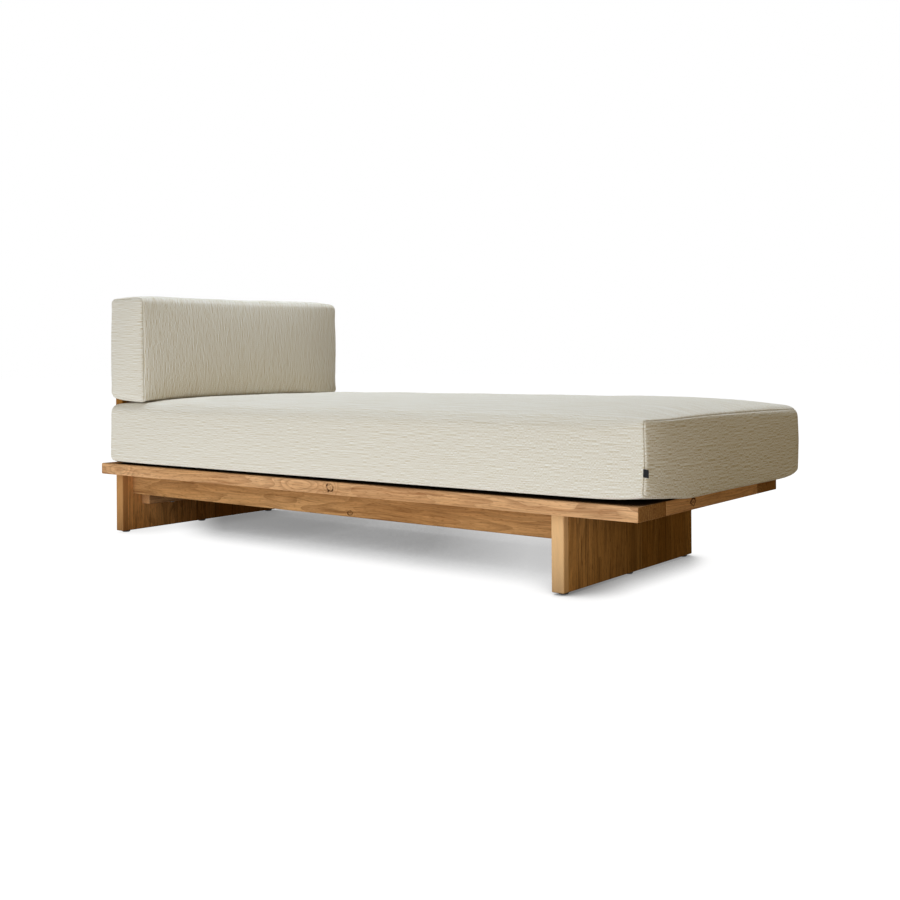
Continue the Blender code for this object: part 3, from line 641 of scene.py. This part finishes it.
# How far the filling and the cover's own pull move those faces. The powers below keep a change near its edge.
MATTRESS_GIVE = 0.006
LUMPS_PER_METRE = 7.0
CROWN, CROWN_LUMPS = 0.028, 0.003
REAR_FOOT_DROP, FRONT_FOOT_DROP, HEAD_DROP = 0.001, 0.003, 0.003
EDGE_WIDTH = 0.110
EDGE_LIFT, EDGE_LIFT_TO_FOOT, EDGE_LIFT_AT_FOOT = 0.0028, 0.0014, 0.0013
CORNER_LIFT, CORNER_START, CORNER_LENGTH = 0.012, 0.5, 0.3
SIDE_FULLNESS, FOOT_FULLNESS, FULLNESS_LUMPS = 0.003, 0.009, 0.002
FOOT_ROLL, FOOT_ROLL_WIDTH = 0.011, 0.090
FOOT_REACH, FOOT_SKEW, REAR_FOOT_REACH, LOW_FOOT_TUCK = 0.0165, 0.004, 0.010, 0.006
FOOT_HANG = 0.010

mattress_low, mattress_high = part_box("mattress")
rail_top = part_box("front_long_rail")[1].z
low = Vector((mattress_low.x + MATTRESS_HEAD_INSET, mattress_low.y + MATTRESS_FRONT_INSET,
              rail_top + MATTRESS_RAIL_GAP))
high = Vector((mattress_high.x - MATTRESS_FOOT_INSET, mattress_high.y - MATTRESS_REAR_INSET,
               rail_top + MATTRESS_SIDE_HEIGHT))
bm = cut_block(low, high)
lay_cloth(bm, low, high, 0)
middle, half = (low + high) / 2, (high - low) / 2
resting, seam = [], []
bm.verts.index_update()
for vert in bm.verts:
    u, v, w = [(c - m) / h for c, m, h in zip(vert.co, middle, half)]
    foot, head = max(0.0, u), max(0.0, -u)
    rear, front = max(0.0, v), max(0.0, -v)
    top, bottom = max(0.0, w), max(0.0, -w)
    radius = MATTRESS_TOP_RADIUS if w > 0 else MATTRESS_BOTTOM_RADIUS
    foot_radius = NEAR_FOOT_RADIUS + (FAR_FOOT_RADIUS - NEAR_FOOT_RADIUS) * ((v + 1) / 2) ** 3
    upper = max(0.0, min(1.0, w + 0.5))
    end_radius = HEAD_END_RADIUS if u < 0 else LOW_FOOT_RADIUS + (foot_radius - LOW_FOOT_RADIUS) * upper
    radius += (end_radius - radius) * abs(u) ** 14 * (u > 0 or w < 0)
    x, y, z = soften(vert.co, low, high, 0, radius, min(radius, end_radius))
    uneven = noise.noise(vert.co * LUMPS_PER_METRE)

    # The top is crowned, and a little lower along its foot and head edges.
    z += (CROWN + CROWN_LUMPS * uneven) * bulge(u, 12 if u > 0 else 4) * bulge(v, 3.6) * top
    z -= (REAR_FOOT_DROP * rear + FRONT_FOOT_DROP * front) * foot ** 8 * top
    z -= HEAD_DROP * head ** 30 * top

    # The long lower edges lift off the rails, most at the front foot corner, and the foot edge hangs between.
    edge = max(0.0, 1 - (1 - abs(v)) * half.y / EDGE_WIDTH)
    z += (EDGE_LIFT + EDGE_LIFT_TO_FOOT * u + EDGE_LIFT_AT_FOOT * foot ** 3) * bottom * edge ** 2
    corner = max(0.0, min(1.0, (front - CORNER_START) / CORNER_LENGTH))
    z += CORNER_LIFT * bottom * foot ** 24 * corner * corner * (3 - 2 * corner)
    z -= FOOT_HANG * bottom * foot ** 60 * bulge(v, 6)

    # The sides and the foot are full, and the foot rolls back at its corners and runs out toward the rear.
    y += (SIDE_FULLNESS + FULLNESS_LUMPS * uneven) * v * bulge(u, 8) * bulge(w)
    at_foot = foot ** 10
    roll = max(0.0, 1 - (1 - abs(v)) * half.y / FOOT_ROLL_WIDTH) ** 2
    x += at_foot * ((FOOT_FULLNESS + FULLNESS_LUMPS * uneven) * bulge(v) * bulge(w) - FOOT_ROLL * roll)
    x += at_foot * (FOOT_REACH + FOOT_SKEW * v + REAR_FOOT_REACH * rear - LOW_FOOT_TUCK * bottom)
    vert.co = (x, y, z)

    if w < -AT_EDGE and abs(v) < 0.8 and abs(u) < 0.96:
        resting.append(vert.index)
    if abs(u) > AT_EDGE and max(abs(v), abs(w)) > AT_EDGE:
        seam.append(vert.index)
mattress = mesh_object("woven_mattress", bm, WEAVE)
mattress.data.shade_smooth()
plump(mattress, resting, MATTRESS_GIVE)
sew(mattress, seam)
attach(mattress, "mattress")
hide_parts("mattress")

# Label: a blank tab of black woven tape, folded and caught in the seam at the front foot corner, where it stands
# out a little over its own width.
LABEL_REACH = 0.0220
LABEL_THICKNESS = 0.0012
LABEL_CAUGHT = 0.001
LABEL_CURL = 0.0012
LABEL_DROOP = 0.0012
LABEL_TUCK = (-0.0045, -0.0020, 0.0)
LABEL_AIM = (0.93, -0.37, 0.0)
SEAM_SEARCH = 0.006
TAPE_RIBS = (700.0, 700.0, 1400.0)
TAPE_RELIEF = 0.0003
label_low, label_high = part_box("seam_label")
sewn_line = [mattress.data.vertices[i].co for i in seam]
caught = [co for co in sewn_line if co.x > 0.0 and co.y < 0.0
          and label_low.z - SEAM_SEARCH < co.z < label_high.z + SEAM_SEARCH]
root = sum(caught, Vector()) / len(caught) + Vector(LABEL_TUCK)
outward = Vector(LABEL_AIM).normalized()
beside = Vector((-outward.y, outward.x, 0.0))
bm = bmesh.new()
bmesh.ops.create_grid(bm, x_segments=8, y_segments=10, size=0.5)
for vert in bm.verts:
    reach, up = vert.co.x + 0.5, vert.co.y
    place_z = (label_low.z + label_high.z) / 2 + up * (label_high.z - label_low.z)
    vert.co = (root + outward * (reach * LABEL_REACH - LABEL_CAUGHT) + beside * LABEL_CURL * (reach * reach - 0.5)
               + Vector((0.0, 0.0, place_z - root.z - LABEL_DROOP * reach)))
bmesh.ops.solidify(bm, geom=bm.faces[:], thickness=LABEL_THICKNESS)
bmesh.ops.recalc_face_normals(bm, faces=bm.faces[:])

# Woven tape is a matt near-black, with a fine rib across it, drawn at about 1 mm, so that it shows.
tape, tree, shader = new_material("black_woven_tape")
place = add_node(tree, "ShaderNodeTexCoord", {})
rib_at = add_node(tree, "ShaderNodeVectorMath", {0: place.outputs["Object"], 1: TAPE_RIBS}, operation="MULTIPLY")
rib = add_node(tree, "ShaderNodeTexNoise", {"Vector": rib_at.outputs[0], "Scale": 1.0, "Detail": 1.0})
rib_tone = add_node(tree, "ShaderNodeMix", {0: rib.outputs[0], 6: linear("#121316"), 7: linear("#2B2C31")},
                    data_type="RGBA")
rib_relief = add_node(tree, "ShaderNodeBump", {"Height": rib.outputs[0], "Strength": 0.3, "Distance": TAPE_RELIEF})
tree.links.new(rib_tone.outputs[2], shader.inputs["Base Color"])
tree.links.new(rib_relief.outputs[0], shader.inputs["Normal"])
shader.inputs["Roughness"].default_value = 0.75
label = mesh_object("corner_label", bm, tape)
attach(label, "mattress")
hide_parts("seam_label")

# Back cushion: a second foam block in the same cloth, stood on the mattress against the back panel. Its cloth
# runs up the wide faces and over the top, with a panel set into each end.
BACK_CUSHION_THICKNESS = 0.165
BACK_CUSHION_HEIGHT = 0.327
BACK_CUSHION_SINK = 0.010
BACK_CUSHION_INSET = 0.001
BACK_CUSHION_REAR_REACH = 0.006
BACK_CUSHION_RADIUS = 0.017
BACK_CUSHION_SEAM_RADIUS = 0.012

# How far the filling and the cover's own pull move its faces.
BACK_CUSHION_GIVE = 0.005
BACK_LUMPS_PER_METRE = 8.0
FACE_FULLNESS, FACE_LUMPS = 0.019, 0.003
FACE_LEAN, FACE_SKEW = 0.008, 0.013
FACE_TUCK, FACE_TUCK_START, FACE_TUCK_SPAN = 0.020, 0.45, 0.30
END_FULLNESS, END_LUMPS = 0.008, 0.002
FRONT_CORNER_LIFT, FRONT_CORNER_TILT, REAR_CORNER_LIFT = 0.004, 0.006, 0.010
TOP_RISE, FRONT_TOP_DROP, REAR_END_REACH = 0.008, 0.25, 0.006
TOP_CROWN, TOP_LUMPS, END_TO_END_RISE = 0.009, 0.002, 0.002

cushion_low, cushion_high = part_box("back_cushion")
low = Vector((cushion_low.x + BACK_CUSHION_INSET, cushion_low.y + BACK_CUSHION_INSET,
              cushion_low.z - BACK_CUSHION_SINK))
high = Vector((cushion_low.x + BACK_CUSHION_THICKNESS, cushion_high.y + BACK_CUSHION_REAR_REACH,
               cushion_low.z + BACK_CUSHION_HEIGHT))
bm = cut_block(low, high)
lay_cloth(bm, low, high, 1)
middle, half = (low + high) / 2, (high - low) / 2
resting, seam = [], []
bm.verts.index_update()
for vert in bm.verts:
    u, v, w = [(c - m) / h for c, m, h in zip(vert.co, middle, half)]
    face = max(0.0, u)
    rear, front = max(0.0, v), max(0.0, -v)
    top, bottom = max(0.0, w), max(0.0, -w)
    x, y, z = soften(vert.co, low, high, 1, BACK_CUSHION_RADIUS, BACK_CUSHION_SEAM_RADIUS)
    uneven = noise.noise(vert.co * BACK_LUMPS_PER_METRE)

    # The wide face is full, leans back, comes forward toward its front end and tucks in over the mattress.
    x += (FACE_FULLNESS + FACE_LUMPS * uneven) * face * bulge(v, 2.2) * bulge(w)
    x -= FACE_LEAN * face * (w + 1) / 2
    x += FACE_SKEW * face * (1 - v) / 2
    x -= FACE_TUCK * face * max(0.0, bottom - FACE_TUCK_START) ** 2 / FACE_TUCK_SPAN * bulge(v, 6)

    # The end panels are full, the rear one stands out further, and the lower corners lift at both ends.
    y += (END_FULLNESS + END_LUMPS * uneven) * v * bulge(u, 6) * bulge(w)
    y += REAR_END_REACH * rear ** 8
    z += (FRONT_CORNER_LIFT + FRONT_CORNER_TILT * (1 - u)) * bottom * front ** 12
    z += REAR_CORNER_LIFT * bottom * rear ** 16

    # The top is crowned and rises toward the rear.
    z += TOP_RISE * top * (rear * bulge(v, 16) - FRONT_TOP_DROP * front)
    z += (TOP_CROWN + TOP_LUMPS * uneven) * top * bulge(u) * bulge(v, 12)
    z += END_TO_END_RISE * v
    vert.co = (x, y, z)

    if u < -AT_EDGE and abs(v) < 0.9 and abs(w) < 0.8 or w < -AT_EDGE and abs(v) < 0.95:
        resting.append(vert.index)
    if abs(v) > AT_EDGE and max(abs(u), abs(w)) > AT_EDGE:
        seam.append(vert.index)
back_cushion = mesh_object("woven_back_cushion", bm, WEAVE)
back_cushion.data.shade_smooth()
plump(back_cushion, resting, BACK_CUSHION_GIVE)
sew(back_cushion, seam)
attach(back_cushion, "back_cushion")
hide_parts("back_cushion")

# Studio: a pale floor that runs into a white surround, a broad soft light from the front and the light it throws up
# off the floor, a cool light overhead, a weak warm one at the foot, an even fill, and the camera.
FLOOR_HALF_SIZE = 40.0
CONTACT_REACH = 0.155
CONTACT_SIDE = (-0.42, 0.0, 0.91)
CONTACT_END_SLANT = 0.46
SHELTER_REACH = 0.54
SHELTER_SIDE = (0.0, -0.70, 0.71)
SHELTER_HEAD_SLANT = 1.13
SHELTER_FOOT_SLANT = 0.60

scene = bpy.context.scene
scene.view_settings.view_transform = "Standard"


def seen_directly(tree):
    """1 where the camera sees a surface itself or in a reflection, and 0 where it only lights other things."""
    path = add_node(tree, "ShaderNodeLightPath", {})
    seen = 0.0
    for ray in ("Is Camera Ray", "Is Glossy Ray", "Is Transmission Ray"):
        seen = add_node(tree, "ShaderNodeMath", {0: seen, 1: path.outputs[ray]}, operation="MAXIMUM").outputs[0]
    return seen


# Floor paper is matt. It is white to the eye outside the shadows, which are mostly painted into its glow, and throws
# a warm, weaker light back.
paper, tree, shader = new_material("pale_studio_floor")
tree.nodes.remove(shader)
spot = add_node(tree, "ShaderNodeTexCoord", {})
spot_axes = add_node(tree, "ShaderNodeSeparateXYZ", {0: spot.outputs["Object"]})
along, rearward = spot_axes.outputs["X"], spot_axes.outputs["Y"]

# A painted shadow close to the legs, which is fainter at the head and ends a little past the foot leg.
tipped = add_node(tree, "ShaderNodeCombineXYZ", dict(enumerate(CONTACT_SIDE)))
contact = add_node(tree, "ShaderNodeAmbientOcclusion", {"Distance": CONTACT_REACH, "Normal": tipped.outputs[0]},
                   samples=16)
contact_shade = add_node(tree, "ShaderNodeMapRange", {
    "Value": contact.outputs["AO"], "From Min": 0.34, "From Max": 0.86, "To Min": 0.30})
toward_foot = add_node(tree, "ShaderNodeMapRange", {
    "Value": along, "From Min": -0.3, "From Max": 0.3, "To Min": 0.25})
footward = add_node(tree, "ShaderNodeMath", {0: rearward, 1: CONTACT_END_SLANT, 2: along},
                    operation="MULTIPLY_ADD")
past_leg = add_node(tree, "ShaderNodeMapRange", {
    "Value": footward.outputs[0], "From Min": 0.95, "From Max": 0.86}, interpolation_type="SMOOTHSTEP")
contact_share = add_node(tree, "ShaderNodeMath", {0: toward_foot.outputs[0], 1: past_leg.outputs[0]},
                         operation="MULTIPLY")
contact_shade = add_node(tree, "ShaderNodeMix", {0: contact_share.outputs[0], 2: 1.0, 3: contact_shade.outputs[0]},
                         data_type="FLOAT")

# A broad painted shadow under the platform, from the head leg to the foot leg and weaker toward the foot.
leaning = add_node(tree, "ShaderNodeCombineXYZ", dict(enumerate(SHELTER_SIDE)))
under = add_node(tree, "ShaderNodeAmbientOcclusion", {"Distance": SHELTER_REACH, "Normal": leaning.outputs[0]},
                 samples=16)
under_shade = add_node(tree, "ShaderNodeMapRange", {
    "Value": under.outputs["AO"], "From Min": 0.33, "From Max": 0.64, "To Min": 0.27})
headward = add_node(tree, "ShaderNodeMath", {0: rearward, 1: SHELTER_HEAD_SLANT, 2: along},
                    operation="MULTIPLY_ADD")
from_head = add_node(tree, "ShaderNodeMapRange", {
    "Value": headward.outputs[0], "From Min": -1.18, "From Max": -0.90}, interpolation_type="SMOOTHSTEP")
slanted = add_node(tree, "ShaderNodeMath", {0: rearward, 1: SHELTER_FOOT_SLANT, 2: along},
                   operation="MULTIPLY_ADD")
to_foot = add_node(tree, "ShaderNodeMapRange", {
    "Value": slanted.outputs[0], "From Min": 0.015, "From Max": 0.375, "To Min": 1.0, "To Max": 0.62})
past_foot = add_node(tree, "ShaderNodeMapRange", {
    "Value": slanted.outputs[0], "From Min": 0.72, "From Max": 0.52}, interpolation_type="SMOOTHSTEP")
between = add_node(tree, "ShaderNodeMath", {0: from_head.outputs[0], 1: to_foot.outputs[0]}, operation="MULTIPLY")
between = add_node(tree, "ShaderNodeMath", {0: between.outputs[0], 1: past_foot.outputs[0]}, operation="MULTIPLY")
under_shade = add_node(tree, "ShaderNodeMix", {0: between.outputs[0], 2: 1.0, 3: under_shade.outputs[0]},
                       data_type="FLOAT")

shade = add_node(tree, "ShaderNodeMath", {0: under_shade.outputs[0], 1: contact_shade.outputs[0]},
                 operation="MULTIPLY")
glow = add_node(tree, "ShaderNodeEmission", {"Color": linear("#FFFFFF"), "Strength": shade.outputs[0]})
shown = add_node(tree, "ShaderNodeBsdfDiffuse", {"Color": linear("#616161")})
bright = add_node(tree, "ShaderNodeAddShader", {0: shown.outputs[0], 1: glow.outputs[0]})
plain = add_node(tree, "ShaderNodeBsdfDiffuse", {"Color": linear("#908169")})
both = add_node(tree, "ShaderNodeMixShader", {0: seen_directly(tree), 1: plain.outputs[0], 2: bright.outputs[0]})
tree.links.new(both.outputs[0], tree.nodes["Material Output"].inputs["Surface"])

bm = bmesh.new()
bmesh.ops.create_grid(bm, x_segments=1, y_segments=1, size=FLOOR_HALF_SIZE)
floor = mesh_object("floor", bm, paper)

world = bpy.data.worlds.new("white_surround")
scene.world = world
world.use_nodes = True
tree = world.node_tree
fill = add_node(tree, "ShaderNodeBackground", {"Color": linear("#FFECC5"), "Strength": 0.14})
white = add_node(tree, "ShaderNodeBackground", {"Color": linear("#FFFFFF"), "Strength": 1.0})
both = add_node(tree, "ShaderNodeMixShader", {0: seen_directly(tree), 1: fill.outputs[0], 2: white.outputs[0]})
tree.links.new(both.outputs[0], tree.nodes["World Output"].inputs["Surface"])

key = bpy.data.lights.new("front_light", "SUN")
key.energy = 1.60
key.color = (0.84, 0.90, 0.98)
key.angle = math.radians(50)
key_object = bpy.data.objects.new("front_light", key)
scene.collection.objects.link(key_object)
key_object.rotation_euler = Vector((-0.05, -0.97, 0.24)).to_track_quat("Z", "Y").to_euler()
for lamp_name, lamp_place, aim, size, power, colour in (
        ("overhead_light", (-0.42, 0.70, 4.0), (0.0, 0.0, 0.4), (2.0, 2.0), 147.0, (0.70, 0.785, 0.905)),
        ("light_off_the_floor", (-0.45, -1.95, 0.004), (-0.45, -1.95, 1.0), (4.0, 2.9), 41.5, (0.84, 0.90, 0.98)),
        ("warm_side_light", (6.0, -2.2, 0.9), (0.2, 0.0, 0.4), (2.0, 2.0), 38.0, (1.0, 0.79, 0.42))):
    lamp = bpy.data.lights.new(lamp_name, "AREA")
    lamp.shape = "RECTANGLE"
    lamp.size, lamp.size_y = size
    lamp.energy = power
    lamp.color = colour
    lamp_object = bpy.data.objects.new(lamp_name, lamp)
    scene.collection.objects.link(lamp_object)
    lamp_object.location = lamp_place
    lamp_object.rotation_euler = (Vector(lamp_place) - Vector(aim)).to_track_quat("Z", "Y").to_euler()
    lamp_object.visible_camera = lamp_object.visible_glossy = False

# The camera's place, turn and lens put the frame's straight edges where the photograph has them.
CAMERA_PLACE = (2.1295, -2.6264, 0.5517)
CAMERA_YAW = math.radians(37.67)
CAMERA_ROLL = 0.0062
CAMERA_LENS = 44.516
CAMERA_SHIFT_Y = -0.0966
lens = bpy.data.cameras.new("camera")
lens.sensor_width = 36.0
lens.lens = CAMERA_LENS
lens.shift_y = CAMERA_SHIFT_Y
lens.clip_end = 200.0
camera = bpy.data.objects.new("camera", lens)
scene.collection.objects.link(camera)
camera.matrix_world = (Matrix.Translation(CAMERA_PLACE) @ Matrix.Rotation(CAMERA_YAW, 4, "Z")
                       @ Matrix.Rotation(math.pi / 2, 4, "X") @ Matrix.Rotation(-CAMERA_ROLL, 4, "Z"))
scene.camera = camera
